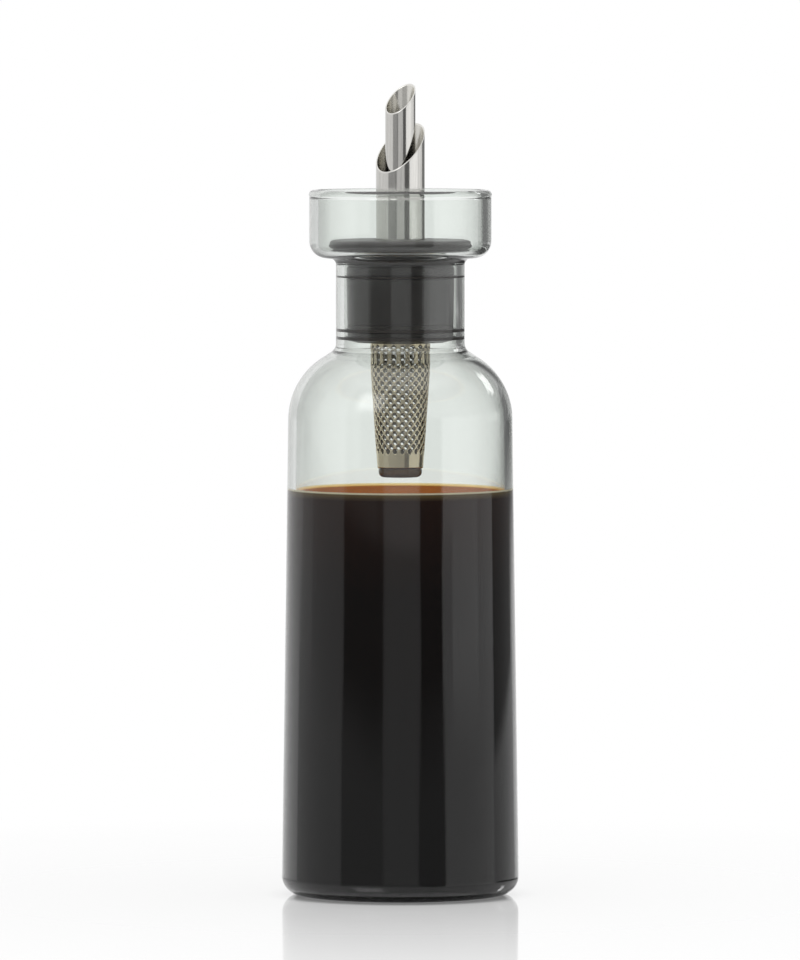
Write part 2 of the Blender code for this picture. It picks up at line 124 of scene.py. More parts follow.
LOWER_RING_CORNER = 0.00015
STOPPER_FACETS = 128

# Spout, strainer and filling sizes

OUTER_SPOUT_RADIUS = 0.0072
INNER_SPOUT_RADIUS = 0.00445
TUBE_WALL = 0.00038
OUTER_SPOUT_HEIGHT = 0.0304
INNER_SPOUT_HEIGHT = 0.0448
INNER_SPOUT_STEP = 0.0015
MOUTH_EDGE = 0.00018
MOUTH_EDGE_STEPS = 8
MOUTH_HOLDS = (0.0016, 0.0006, 0.00026)
FOOT_HOLD = 0.0003
MOUTH_SLANT = radians(45.3)
MOUTH_RISE_DIRECTION = radians(50.6)
STRAINER_RIM_RADIUS = 0.0089
STRAINER_WAIST_RADIUS = 0.0087
STRAINER_FOOT_RADIUS = 0.0068
STRAINER_SHEET = 0.0004
STRAINER_ENGAGEMENT = 0.0033
STRAINER_WAIST_DEPTH = 0.0090
STRAINER_DEPTH = 0.0370
STRAINER_BAND = 0.0052
STRAINER_COLUMNS = 40
STRAINER_ROWS = 23
SLOT_ROW = 2
SLOT_DEPTH = 0.0046
SLOT_STRETCH = 1.14
SLOT_TALL = 1.35
ROUND_HOLE, RIM_SHEET, FOOT_SHEET, TALL_SLOT = range(4)
# Share of the way from a hole's middle to its diamond's corners, and depth in sheets
HOLE_RINGS = ((0.68, 0.0), (0.62, -0.18), (0.57, -0.52), (0.54, -0.96), (0.53, -1.50))
FOOT_CURL = 0.5
# Share of the way to the sheet's end, rows further, share of its curl, and depth in sheets
EDGE_PROFILE = (
    (0.0, 0.0, 0.0, 0.0),
    (0.5, 0.0, 0.0, 0.0),
    (1.0, -0.40, 0.0, 0.0),
    (1.0, -0.28, 0.0, 0.0),
    (1.0, -0.10, 0.4, 0.0),
    (1.0, 0.0, 1.0, -0.25),
    (1.0, 0.0, 1.0, -0.75),
    (1.0, -0.10, 0.4, -1.0),
    (1.0, -0.30, 0.0, -1.0),
    (0.5, 0.0, 0.0, -1.0),
    (0.0, 0.0, 0.0, -1.0),
)
PATTERN_TURN = 0.58
CAP_HEIGHT = 0.0023
CAP_CORNER = 0.0015
CAP_SPIGOT = 0.0034
CAP_WALL = 0.0012
CAP_EDGE = 0.0002
CAP_FACETS = 96
SURFACE_BELOW_CAP = 0.0042
MENISCUS_RISE = 0.0009
MENISCUS_REACH = 0.00085
MENISCUS_STEPS = (0.00008, 0.0002, 0.0004, 0.0007, 0.0011, 0.0016, 0.0023, 0.0032, 0.0045)
FILLING_FACETS = 160
WETTED_OVERLAP = 0.00006
PRESSED_OVERLAP = 0.00003
FIT_GAP = 0.0003
REST_GAP = 0.00005
FLAT_HOLD = 0.00025
WELD_DISTANCE = 2e-6
FLAT_FACE_AREA = 1e-13

# Sizes that follow

side_lean = atan2(BASE_RADIUS - SIDE_TOP_RADIUS, SIDE_HEIGHT - BASE_CORNER)
shoulder_r = SIDE_TOP_RADIUS - SHOULDER_ROUND * cos(side_lean)
shoulder_z = SIDE_HEIGHT - SHOULDER_ROUND * sin(side_lean)
shoulder_end = radians(SHOULDER_SLOPE)
cone_start_r = shoulder_r + SHOULDER_ROUND * cos(shoulder_end)
cone_start_z = shoulder_z + SHOULDER_ROUND * sin(shoulder_end)
fillet_start_r = NECK_RADIUS + NECK_ROOT_FILLET * (1 - cos(shoulder_end))
cone_length = (cone_start_r - fillet_start_r) / sin(shoulder_end)
cone_end_z = cone_start_z + cone_length * cos(shoulder_end)
neck_root_z = cone_end_z + NECK_ROOT_FILLET * sin(shoulder_end)
bore_radius = NECK_RADIUS - NECK_WALL
cup_underside_z = neck_root_z + NECK_LENGTH + NECK_TOP_FILLET
cup_floor_z = cup_underside_z + CUP_FLOOR_THICKNESS
cup_rim_z = cup_floor_z + CUP_DEPTH
cup_inner_radius = CUP_RADIUS - CUP_WALL
bore_ridge_z = neck_root_z - BORE_RIDGE_DROP
plug_bottom_z = cup_floor_z - PLUG_DEPTH
strainer_top_z = plug_bottom_z + STRAINER_ENGAGEMENT
strainer_foot_z = plug_bottom_z - STRAINER_DEPTH
strainer_waist_z = plug_bottom_z - STRAINER_WAIST_DEPTH
slot_z = plug_bottom_z - SLOT_DEPTH
last_row_z = strainer_foot_z + STRAINER_BAND
row_step = (slot_z - last_row_z) / (STRAINER_ROWS - 1 - SLOT_ROW + SLOT_STRETCH / 2)
pattern_top_z = slot_z + row_step * (SLOT_ROW + 1)
pattern_foot_z = slot_z - row_step * (STRAINER_ROWS - SLOT_ROW)
slot_shift = row_step * SLOT_STRETCH / 2
cap_bottom_z = strainer_foot_z - FIT_GAP - CAP_HEIGHT
surface_z = cap_bottom_z - SURFACE_BELOW_CAP


# Mesh helpers


def arc(centre_r, centre_z, radius, start, end, steps):
    """Points of a round in a profile, from one angle to another in degrees."""
    points = []
    for step in range(steps + 1):
        angle = radians(start + (end - start) * step / steps)
        points.append((centre_r + radius * cos(angle), centre_z + radius * sin(angle)))
    return points


def ease_corners(profile, radius, closed=False):
    """Round each sharp corner of a profile, as a mould or a polisher leaves it."""
    eased = []
    count = len(profile)
    for index, point in enumerate(profile):
        if not closed and index in (0, count - 1):
            eased.append(point)
            continue
        here = Vector(point)
        before = Vector(profile[index - 1]) - here
        after = Vector(profile[(index + 1) % count]) - here
        turn = pi - before.angle(after)
        reach = radius * tan(turn / 2)
        if turn < radians(25) or reach > 0.45 * min(before.length, after.length):
            eased.append(point)
            continue
        start = here + before.normalized() * reach
        end = here + after.normalized() * reach
        for step in range(4):
            share = step / 3
            bend = start.lerp(here, share).lerp(here.lerp(end, share), share)
            eased.append((bend.x, bend.y))
    return eased


def hold_flats(profile, closed):
    """Add a point near both ends of each long flat, so that its shading stays flat."""
    held = []
    count = len(profile)
    for index, point in enumerate(profile):
        held.append(point)
        if index == count - 1 and not closed:
            continue
        here, there = Vector(point), Vector(profile[(index + 1) % count])
        span = there - here
        if span.length < 6 * FLAT_HOLD:
            continue
        step = span.normalized() * FLAT_HOLD
        held.append(tuple(here + step))
        held.append(tuple(there - step))
    return held


def new_object(name, data):
    """A new object in the scene, at the origin."""
    piece = bpy.data.objects.new(name, data)
    bpy.context.scene.collection.objects.link(piece)
    return piece


def mesh_object(name, mesh):
    """A new object from a bmesh."""
    data = bpy.data.meshes.new(name)
    mesh.to_mesh(data)
    mesh.free()
    return new_object(name, data)


def finish_mesh(name, mesh, material, body, node):
    """Make a bmesh a shown piece that rides on its body and stands for its CAD node."""
    piece = mesh_object(name, mesh)
    piece.data.shade_smooth()
    piece.data.set_sharp_from_angle(angle=radians(50.0))
    piece.data.materials.append(material)
    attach(piece, body)
    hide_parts(node)
    return piece


def turned_mesh(profile, segments, closed):
    """Spin a profile of (radius, height) points round Z."""
    profile = hold_flats(profile, closed)
    mesh = bmesh.new()
    points = [mesh.verts.new((radius, 0.0, height)) for radius, height in profile]
    edges = [mesh.edges.new(pair) for pair in zip(points, points[1:])]
    if closed:
        edges.append(mesh.edges.new((points[-1], points[0])))
    bmesh.ops.spin(
        mesh,
        geom=points + edges,
        cent=(0.0, 0.0, 0.0),
        axis=(0.0, 0.0, 1.0),
        angle=tau,
        steps=segments,
        use_merge=True,
    )
    bmesh.ops.remove_doubles(mesh, verts=mesh.verts[:], dist=WELD_DISTANCE / 10)
    bmesh.ops.recalc_face_normals(mesh, faces=mesh.faces[:])
    return mesh


def bridge_rows(mesh, rows, wrap):
    """Faces between neighbouring rows of points; each row may wrap round to its start."""
    faces = []
    for first, second in zip(rows, rows[1:]):
        for index in range(len(first) if wrap else len(first) - 1):
            after = (index + 1) % len(first)
            corners = (first[index], first[after], second[after], second[index])
            faces.append(mesh.faces.new(corners))
    return faces


# Node helpers


def feed(tree, socket, value):
    """Link a value to an input, or set the input to a number or a colour."""
    if isinstance(value, (int, float)):
        socket.default_value = value
    elif isinstance(value, tuple):
        socket.default_value = (*value, 1.0)
    else:
        tree.links.new(value, socket)


def feed_inputs(tree, node, *values, **named):
    """Feed a node's inputs, in order or by name with an underscore for each space."""
    for index, value in enumerate(values):
        feed(tree, node.inputs[index], value)
    for label, value in named.items():
        feed(tree, node.inputs[label.replace("_", " ")], value)
    return node.outputs


def new_node(tree, kind, *values, **named):
    """A new node with its inputs fed, and its outputs."""
    return feed_inputs(tree, tree.nodes.new(kind), *values, **named)


def calculate(tree, operation, *values, clamp=False):
    """A Math node on sockets or numbers, and its result."""
    node = tree.nodes.new("ShaderNodeMath")
    node.operation = operation
    node.use_clamp = clamp
    return feed_inputs(tree, node, *values)[0]


def total(tree, first, second):
    """The sum of two sockets or numbers."""
    return calculate(tree, "ADD", first, second)


def product(tree, first, second):
    """The product of two sockets or numbers."""
    return calculate(tree, "MULTIPLY", first, second)


def split_vector(tree, vector):
    """The three parts of a vector."""
    return new_node(tree, "ShaderNodeSeparateXYZ", vector)


def join_vector(tree, *parts):
    """A vector from three sockets or numbers."""
    return new_node(tree, "ShaderNodeCombineXYZ", *parts)[0]


def map_range(tree, value, low, high, new_low, new_high, smooth=False):
    """A clamped Map Range node, and its result."""
    node = tree.nodes.new("ShaderNodeMapRange")
    node.interpolation_type = "SMOOTHSTEP" if smooth else "LINEAR"
    return feed_inputs(tree, node, value, low, high, new_low, new_high)[0]


def colour_ramp(tree, value, stops):
    """A Color Ramp node with (position, colour) stops, and its colour."""
    node = tree.nodes.new("ShaderNodeValToRGB")
    ramp = node.color_ramp
    while len(ramp.elements) < len(stops):
        ramp.elements.new(1.0)
    for element, (position, colour) in zip(ramp.elements, stops):
        element.position = position
        element.color = (*colour, 1.0)
    return feed_inputs(tree, node, value)[0]


def mix_colours(tree, mask, first, second, blend_type="MIX"):
    """Two colours mixed by a mask; each may be a socket or a colour."""
    node = tree.nodes.new("ShaderNodeMix")
    node.data_type = "RGBA"
    node.blend_type = blend_type
    for index, value in ((0, mask), (6, first), (7, second)):
        feed(tree, node.inputs[index], value)
    return node.outputs[2]


def mix_shaders(tree, share, first, second):
    """Two shaders mixed by a share of the second."""
    return new_node(tree, "ShaderNodeMixShader", share, first, second)[0]


def new_group(name, result, **values):
    """An empty shader group with named inputs and one result: its inputs, and where it ends."""
    group = bpy.data.node_groups.new(name, "ShaderNodeTree")
    new_socket = group.interface.new_socket
    for label, value in values.items():
        label = label.replace("_", " ")
        socket = new_socket(name=label, in_out="INPUT", socket_type="NodeSocketFloat")
        socket.default_value = value
    new_socket(name=result, in_out="OUTPUT", socket_type="NodeSocketFloat")
    return group, new_node(group, "NodeGroupInput"), group.nodes.new("NodeGroupOutput")


def noise(tree, vector, scale, detail=2.0, roughness=0.5):
    """A Noise Texture on a vector, and its value."""
    values = {"Vector": vector, "Scale": scale, "Detail": detail, "Roughness": roughness}
    return new_node(tree, "ShaderNodeTexNoise", **values)["Fac"]


def object_place(tree):
    """Object coordinates."""
    return new_node(tree, "ShaderNodeTexCoord")["Object"]


def axis_place(tree):
    """Distance from the bottle's axis and height, from Object coordinates."""
    across, along, height = split_vector(tree, object_place(tree))
    squares = total(tree, product(tree, across, across), product(tree, along, along))
    return calculate(tree, "SQRT", squares), height


def stretched_place(tree, stretch):
    """Object coordinates, squeezed along Z by a stretch so that a pattern runs up the piece."""
    across, along, height = split_vector(tree, object_place(tree))
    return join_vector(tree, across, along, calculate(tree, "DIVIDE", height, stretch))


def weighted(tree, first, share, second):
    """Two values added, the first by its share and the second by the rest."""
    return total(tree, product(tree, first, share), product(tree, second, 1.0 - share))


# Shared surface effects


def make_handling_marks():
    """Faint wiped smears and fine dust, as a mask from 0 to 1."""
    group, entry, result = new_group("handling marks", "Mask", Size=60.0, Coverage=0.5)
    place = stretched_place(group, 2.5)
    smears = noise(group, place, entry["Size"], detail=4.0, roughness=0.6)
    fine = noise(group, place, product(group, entry["Size"], 23.0))
    start = product(group, calculate(group, "SUBTRACT", 1.0, entry["Coverage"]), 0.75)
    spread = calculate(group, "SUBTRACT", weighted(group, smears, 0.75, fine), start)
    feed_inputs(group, result, calculate(group, "MULTIPLY", spread, 3.0, clamp=True))
    return group


def make_grain(name, result_name, roughness, coarser, share, **values):
    """Fine and broad noise added; the values say how many per metre, and how long they run up."""
    group, entry, result = new_group(name, result_name, **values)
    place = stretched_place(group, entry[1])
    fine = noise(group, place, entry[0], detail=3.0, roughness=roughness)
    broad = noise(group, place, calculate(group, "DIVIDE", entry[0], coarser))
    feed_inputs(group, result, weighted(group, fine, share, broad))
    return group


handling_marks = make_handling_marks()
# Even grain of a moulded surface
moulded_grain = make_grain(
    "moulded grain", "Height", 0.65, 14.0, 0.7, Grains_Per_Metre=5000.0, Length=1.0
)
# Lines that run up a drawn or ground metal sheet
drawn_lines = make_grain(
    "drawn lines", "Lines", 0.70, 7.0, 0.65, Lines_Per_Metre=9000.0, Length=60.0
)


def use_group(tree, group, **values):
    """Place a shared effect in a material with its own values, and give its output."""
    node = tree.nodes.new("ShaderNodeGroup")
    node.node_tree = group
    return feed_inputs(tree, node, **values)[0]


def bump(tree, height, strength, distance):
    """A Bump node on a height, and its normal."""
    values = {"Height": height, "Strength": strength, "Distance": distance}
    return new_node(tree, "ShaderNodeBump", **values)["Normal"]


def new_material(name, **values):
    """A material whose Principled shader has these values set on its own sockets."""
    material = bpy.data.materials.new(name)
    material.use_nodes = True
    tree = material.node_tree
    shader = tree.nodes["Principled BSDF"]
    feed_inputs(tree, shader, **values)
    return material, tree, shader


# Materials

# Painted light through the thin meniscus: a pale line and lighter browns at the top of the
# filling's side, then its own brown-black
MENISCUS_LIGHT_AND_BODY = (
    (0.00, (1.00, 0.93, 0.70)),
    (0.10, (0.95, 0.86, 0.62)),
    (0.15, (0.17, 0.120, 0.045)),
    (0.36, (0.100, 0.066, 0.030)),
    (0.60, (0.026, 0.010, 0.006)),
    (1.00, (0.026, 0.010, 0.006)),
)
# Painted shade: the filling's side darkens and cools with depth below its surface
DEPTH_SHADE = ((0.0, (1.00, 1.00, 1.00)), (0.30, (0.22, 0.30, 0.40)), (1.0, (0.04, 0.10, 0.16)))
# The surface's own red-brown to brown-black, with painted light through the thin liquid at the
# wall: pale gold and ochre
SURFACE_COLOUR_AND_RIM_LIGHT = (
    (0.00, (1.00, 0.92, 0.66)),
    (0.02, (0.90, 0.62, 0.26)),
    (0.05, (0.55, 0.24, 0.06)),
    (0.12, (0.26, 0.085, 0.016)),
    (0.35, (0.11, 0.032, 0.008)),
    (1.00, (0.06, 0.018, 0.006)),
)
# Painted glow at the thin rim, given as emission
PAINTED_RIM_GLOW = ((0.00, (0.45, 0.35, 0.15)), (0.03, (0.40, 0.24, 0.06)), (0.06, (0.0, 0.0, 0.0)))


def make_blown_glass():
    """Clear pressed and blown glass with a faint green-grey tint and slow waves."""
    material, tree, shader = new_material(
        "clear blown glass", Roughness=0.0, IOR=GLASS_INDEX, Transmission_Weight=1.0
    )
    facing = new_node(tree, "ShaderNodeLayerWeight", Blend=0.5)["Facing"]
    depth = product(tree, calculate(tree, "POWER", facing, 2.0), 0.9)
    tint = mix_colours(tree, depth, (0.885, 0.912, 0.890), (0.10, 0.11, 0.09))
    waves = noise(tree, stretched_place(tree, 3.0), 42.0, detail=1.0)
    feed_inputs(tree, shader, Base_Color=tint, Normal=bump(tree, waves, 0.25, 0.0006))
    return material


def make_vinegar_body():
    """The filling against the glass: a brown-black body, with painted light in a pale line and an
    olive band where it wets the wall at its top, and painted shade that deepens downward.
    """
    material, tree, shader = new_material(
        "vinegar body", Roughness=0.12, IOR=VINEGAR_INDEX, Specular_IOR_Level=0.0
    )
    depth = calculate(tree, "SUBTRACT", surface_z + MENISCUS_RISE, axis_place(tree)[1])
    # Painted light in a pale line and olive band at the top of the side
    edge = colour_ramp(tree, map_range(tree, depth, 0.0, 0.004, 0.0, 1.0), MENISCUS_LIGHT_AND_BODY)
    # Painted shade, darker with depth below the surface
    shade_below = colour_ramp(tree, map_range(tree, depth, 0.0, 0.100, 0.0, 1.0), DEPTH_SHADE)
    feed_inputs(tree, shader, Base_Color=mix_colours(tree, 1.0, edge, shade_below, "MULTIPLY"))
    return material


def make_vinegar_surface():
    """The open surface of the filling: painted light makes it pale gold and ochre where it is thin
    at the wall, with a painted glow there, and it turns red-brown inward.
    """
    material, tree, shader = new_material(
        "vinegar surface",
        Roughness=0.06,
        IOR=VINEGAR_INDEX,
        Specular_IOR_Level=0.0,
        # Strength of the painted rim glow
        Emission_Strength=1.0,
        Sheen_Weight=0.85,
        Sheen_Roughness=0.35,
        Sheen_Tint=(1.0, 0.31, 0.065),
    )
    wall = SIDE_TOP_RADIUS - BODY_WALL + FIT_GAP
    inward = calculate(tree, "SUBTRACT", wall, axis_place(tree)[0])
    thin = calculate(tree, "DIVIDE", inward, wall, clamp=True)
    ripples = noise(tree, object_place(tree), 160.0, detail=1.0)
    feed_inputs(
        tree,
        shader,
        # Painted light through the thin edge, over the surface's own colour
        Base_Color=colour_ramp(tree, thin, SURFACE_COLOUR_AND_RIM_LIGHT),
        # Painted glow at the thin rim
        Emission_Color=colour_ramp(tree, thin, PAINTED_RIM_GLOW),
        Normal=bump(tree, ripples, 0.08, 0.0002),
    )
    return material


def make_stopper_plastic(name, colour, roughness, grains, gloss=0.5):
    """Dark moulded plastic or silicone with a fine grain and faint wiped marks."""
    material, tree, shader = new_material(name, IOR=1.48, Specular_IOR_Level=gloss)
    marks = use_group(tree, handling_marks, Size=140.0, Coverage=0.45)
    grain = use_group(tree, moulded_grain, Grains_Per_Metre=grains)
    paler = tuple(value * 1.35 for value in colour)
    tone = map_range(tree, grain, 0.35, 0.65, 0.0, 1.0)
    rough = map_range(tree, marks, 0.0, 1.0, roughness, roughness + 0.10)
    feed_inputs(tree, shader, Base_Color=mix_colours(tree, tone, colour, paler), Roughness=rough)
    feed_inputs(tree, shader, Normal=bump(tree, grain, 0.05, 0.00001))
    return material


def tube_inside(tree):
    """Mask of the inner side of either pouring tube, from 0 outside to 1."""
    reach = axis_place(tree)[0]
    start, end = 0.85 * TUBE_WALL, 0.60 * TUBE_WALL
    inner, outer = (
        map_range(tree, reach, radius - start, radius - end, 1.0, 0.0)
        for radius in (INNER_SPOUT_RADIUS, OUTER_SPOUT_RADIUS)
    )
    past_inner_tube = calculate(tree, "GREATER_THAN", reach, INNER_SPOUT_RADIUS + TUBE_WALL)
    return calculate(tree, "MAXIMUM", inner, product(tree, outer, past_inner_tube))


def sleeve_inside(tree):
    """Mask of the strainer's inner side and of the walls of its holes, from 0 outside to 1."""
    reach, height = axis_place(tree)
    flare = STRAINER_RIM_RADIUS - STRAINER_WAIST_RADIUS
    upper = map_range(tree, height, strainer_waist_z, strainer_top_z, 0.0, flare)
    lower = map_range(
        tree, height, strainer_foot_z, strainer_waist_z, STRAINER_FOOT_RADIUS, STRAINER_WAIST_RADIUS
    )
    depth = calculate(tree, "SUBTRACT", total(tree, lower, upper), reach)
    start, end = 0.35 * STRAINER_SHEET, 0.80 * STRAINER_SHEET
    return map_range(tree, depth, start, end, 0.0, 1.0, smooth=True)


def make_steel(name, colour, shade, roughness, lines_per_metre, relief, inside, inside_look):
    """Stainless steel with drawn lines in its tone, its polish and its relief.

    A colour and a roughness take over on its inner side, where a mask says so.
    """
    material, tree, shader = new_material(name, Metallic=1.0)
    lines = use_group(tree, drawn_lines, Lines_Per_Metre=lines_per_metre, Length=70.0)
    marks = use_group(tree, handling_marks, Size=110.0, Coverage=0.4)
    inner = inside(tree)
    inside_colour, inside_roughness = inside_look
    tone = map_range(tree, lines, 0.30, 0.70, 0.0, 1.0)
    metal = mix_colours(tree, inner, mix_colours(tree, tone, shade, colour), inside_colour)
    rough = map_range(tree, tone, 0.0, 1.0, roughness * 2, roughness)
    rough = total(tree, rough, product(tree, marks, 0.05))
    rough = map_range(tree, inner, 0.0, 1.0, rough, inside_roughness)
    feed_inputs(tree, shader, Base_Color=metal, Roughness=rough)
    feed_inputs(tree, shader, Normal=bump(tree, lines, relief, 0.00002))
    return material


blown_glass = make_blown_glass()
vinegar_body = make_vinegar_body()
vinegar_surface = make_vinegar_surface()
stopper_plastic = make_stopper_plastic("stopper plastic", (0.0240, 0.0185, 0.0175), 0.34, 5200.0)
seal_silicone = make_stopper_plastic("seal silicone", (0.022, 0.015, 0.012), 0.38, 3800.0)
cap_plastic = make_stopper_plastic("strainer cap plastic", (0.085, 0.040, 0.008), 0.24, 4600.0, 0.2)
spacer_plastic = make_stopper_plastic("spacer plastic", (0.020, 0.020, 0.020), 0.40, 5200.0)
tube_steel = make_steel(
    "drawn tube steel",
    colour=(0.70, 0.69, 0.66),
    shade=(0.54, 0.53, 0.51),
    roughness=0.07,
    lines_per_metre=9000.0,
    relief=0.30,
    inside=tube_inside,
    inside_look=((0.76, 0.745, 0.70), 0.21),
)
strainer_steel = make_steel(
    "strainer steel",
    colour=(0.62, 0.545, 0.395),
    shade=(0.54, 0.470, 0.340),
    roughness=0.05,
    lines_per_metre=5000.0,
    relief=0.03,
    inside=sleeve_inside,
    # Darker inner side and hole walls: painted shade, with a rougher inner finish
    inside_look=((0.30, 0.265, 0.20), 0.38),
)


# Bottle and filling


def inner_side_radius(height):
    """Radius of the glass body's inner wall where the side is straight."""
    share = (height - BASE_CORNER) / (SIDE_HEIGHT - BASE_CORNER)
    return BASE_RADIUS + (SIDE_TOP_RADIUS - BASE_RADIUS) * share - BODY_WALL


def push_up(radius, edge_radius):
    """Height of the hollow base's crown, which is nothing at its edge."""
    return PUSH_UP_HEIGHT * (1 - (radius / edge_radius) ** 2)


def inner_floor_profile(offset):
    """Inner floor from the axis to the side, moved into the bottle by an offset."""
    floor_z = BASE_THICKNESS + offset
    corner = INNER_BASE_CORNER
    edge_r = inner_side_radius(floor_z + corner) - offset - corner
    crown = [edge_r * step / 8 for step in range(8)]
    points = [(radius, floor_z + push_up(radius, edge_r)) for radius in crown]
    return points + arc(edge_r, floor_z + corner, corner, -90, 0, 14)


def inner_wall(centre_r, centre_z, radius, tilt):
    """Point of the inner wall behind a point of an outer round, where the view stays straight.

    A tilted wall bends light down on its way in, so the same tilt lies lower inside.
    """
    tilt = radians(tilt)
    bend = tilt - asin(sin(tilt + CLEAR_VIEW_DROP) / GLASS_INDEX)
    point_r = centre_r + radius * cos(tilt) - BODY_WALL
    point_z = centre_z + radius * sin(tilt) - BODY_WALL * tan(bend)
    ridge = BORE_RIDGE_HEIGHT * exp(-(((point_z - bore_ridge_z) / BORE_RIDGE_WIDTH) ** 2))
    return point_r - ridge, point_z


def build_bottle():
    """One closed wall of glass: foot, side, shoulder, neck and drip cup, out and in."""
    foot_outer = BASE_RADIUS - BASE_CORNER
    foot_inner = foot_outer - FOOT_RING_WIDTH
    slope = SHOULDER_SLOPE
    lean = degrees(side_lean)
    root_r = NECK_RADIUS + NECK_ROOT_FILLET
    hollow = [foot_inner * step / 8 for step in range(9)]
    profile = [(radius, push_up(radius, foot_inner)) for radius in hollow]
    profile += arc(foot_outer, BASE_CORNER, BASE_CORNER, -90, 0, 18)
    profile += arc(shoulder_r, shoulder_z, SHOULDER_ROUND, lean, slope, 44)
    profile += arc(root_r, neck_root_z, NECK_ROOT_FILLET, 180 + slope, 180, 12)
    fillet_z = cup_underside_z - NECK_TOP_FILLET
    profile += arc(NECK_RADIUS + NECK_TOP_FILLET, fillet_z, NECK_TOP_FILLET, 180, 90, 12)
    profile += arc(CUP_RADIUS - CUP_CORNER, cup_underside_z + CUP_CORNER, CUP_CORNER, -90, 0, 18)
    bead_r = CUP_RADIUS + RIM_BEAD_PROUD - RIM_BEAD_RADIUS
    bead_start = -degrees(acos((CUP_RADIUS - bead_r) / RIM_BEAD_RADIUS))
    bead_end = 180 + degrees(acos((bead_r - cup_inner_radius) / RIM_BEAD_RADIUS))
    profile += arc(bead_r, cup_rim_z - RIM_BEAD_RADIUS, RIM_BEAD_RADIUS, bead_start, bead_end, 24)
    corner = CUP_CORNER / 2
    profile += arc(cup_inner_radius - corner, cup_floor_z + corner, corner, 0, -90, 12)
    fillet = MOUTH_FILLET
    profile += arc(bore_radius + fillet, cup_floor_z - fillet, fillet, 90, 180, 12)
    for step in range(61):
        profile.append(inner_wall(root_r, neck_root_z, -NECK_ROOT_FILLET, slope * step / 60))
    for step in range(45):
        tilt = slope + (lean - slope) * step / 44
        profile.append(inner_wall(shoulder_r, shoulder_z, SHOULDER_ROUND, tilt))
    profile += list(reversed(inner_floor_profile(0.0)))
    mesh = turned_mesh(profile, BOTTLE_FACETS, closed=False)
    finish_mesh("bottle_glass", mesh, blown_glass, "bottle", "glass_bottle")


def build_filling():
    """The vinegar: it wets the wall, and its surface climbs it in a meniscus."""
    wall_r = inner_side_radius(surface_z) + WETTED_OVERLAP
    top_z = surface_z + MENISCUS_RISE
    profile = inner_floor_profile(-WETTED_OVERLAP)
    profile.append((wall_r, top_z))
    for inward in MENISCUS_STEPS:
        climb = MENISCUS_RISE * exp(-inward / MENISCUS_REACH)
        profile.append((wall_r - inward, surface_z + climb))
    profile += [(wall_r * share, surface_z) for share in (0.75, 0.5, 0.25)]
    profile.append((0.0, surface_z))
    mesh = turned_mesh(profile, FILLING_FACETS, closed=False)
    piece = finish_mesh("vinegar_filling", mesh, vinegar_body, "bottle", "vinegar")
    piece.data.materials.append(vinegar_surface)
    for face in piece.data.polygons:
        if face.normal.z > 0.2 and face.center.z > surface_z - MENISCUS_RISE / 2:
            face.material_index = 1


# Stopper


def moulded_ring(profile, corner):
    """Turn the closed profile of a moulded stopper piece, with its corners eased."""
    return turned_mesh(ease_corners(profile, corner, closed=True), STOPPER_FACETS, closed=True)


def build_flange():
    """Disc on the cup's floor, the seat in the mouth, and the hub that holds the tubes."""
    bottom_z = cup_floor_z - PRESSED_OVERLAP
    top_z = bottom_z + FLANGE_THICKNESS
    seat_bottom_z = cup_floor_z - SEAT_DEPTH
    spigot_top_z = plug_bottom_z + SPIGOT_LENGTH
    seat_r = bore_radius + PRESSED_OVERLAP
    chamfer = HUB_MOUTH_CHAMFER
    profile = [(HUB_BORE, top_z - chamfer), (HUB_BORE + chamfer, top_z)]
    widest_z = top_z - FLANGE_EDGE_DROP
    upper_edge = (FLANGE_TOP_ROUND, FLANGE_EDGE_DROP)
    lower_edge = (FLANGE_LOWER_ROUND, widest_z - bottom_z)
    for out_r, out_z in arc(0.0, 0.0, 1.0, 90, -90, 28):
        reach, rise = upper_edge if out_z > 0 else lower_edge
        profile.append((FLANGE_RADIUS - reach * (1 - out_r), widest_z + rise * out_z))
    fillet = MOUTH_FILLET - PRESSED_OVERLAP
    profile += arc(bore_radius + MOUTH_FILLET, cup_floor_z - MOUTH_FILLET, fillet, 100, 180, 12)
    profile.append((seat_r, seat_bottom_z + SEAT_TAPER))
    profile += [(seat_r - SEAT_TAPER, seat_bottom_z), (HUB_RADIUS, seat_bottom_z)]
    profile += [(HUB_RADIUS, spigot_top_z), (SPIGOT_RADIUS, spigot_top_z)]
    profile += [(SPIGOT_RADIUS, plug_bottom_z), (SPIGOT_BORE, plug_bottom_z)]
    profile += [(SPIGOT_BORE, spigot_top_z - SPIGOT_MOUTH_TAPER), (LEDGE_BORE, spigot_top_z)]
    ledge_z = plug_bottom_z + TUBE_LEDGE_HEIGHT
    profile += [(LEDGE_BORE, ledge_z), (HUB_BORE, ledge_z)]
    mesh = moulded_ring(profile, FLANGE_CORNER)
    finish_mesh(
        "flange_disc", mesh, stopper_plastic, "stopper", "stopper_flange"
    )


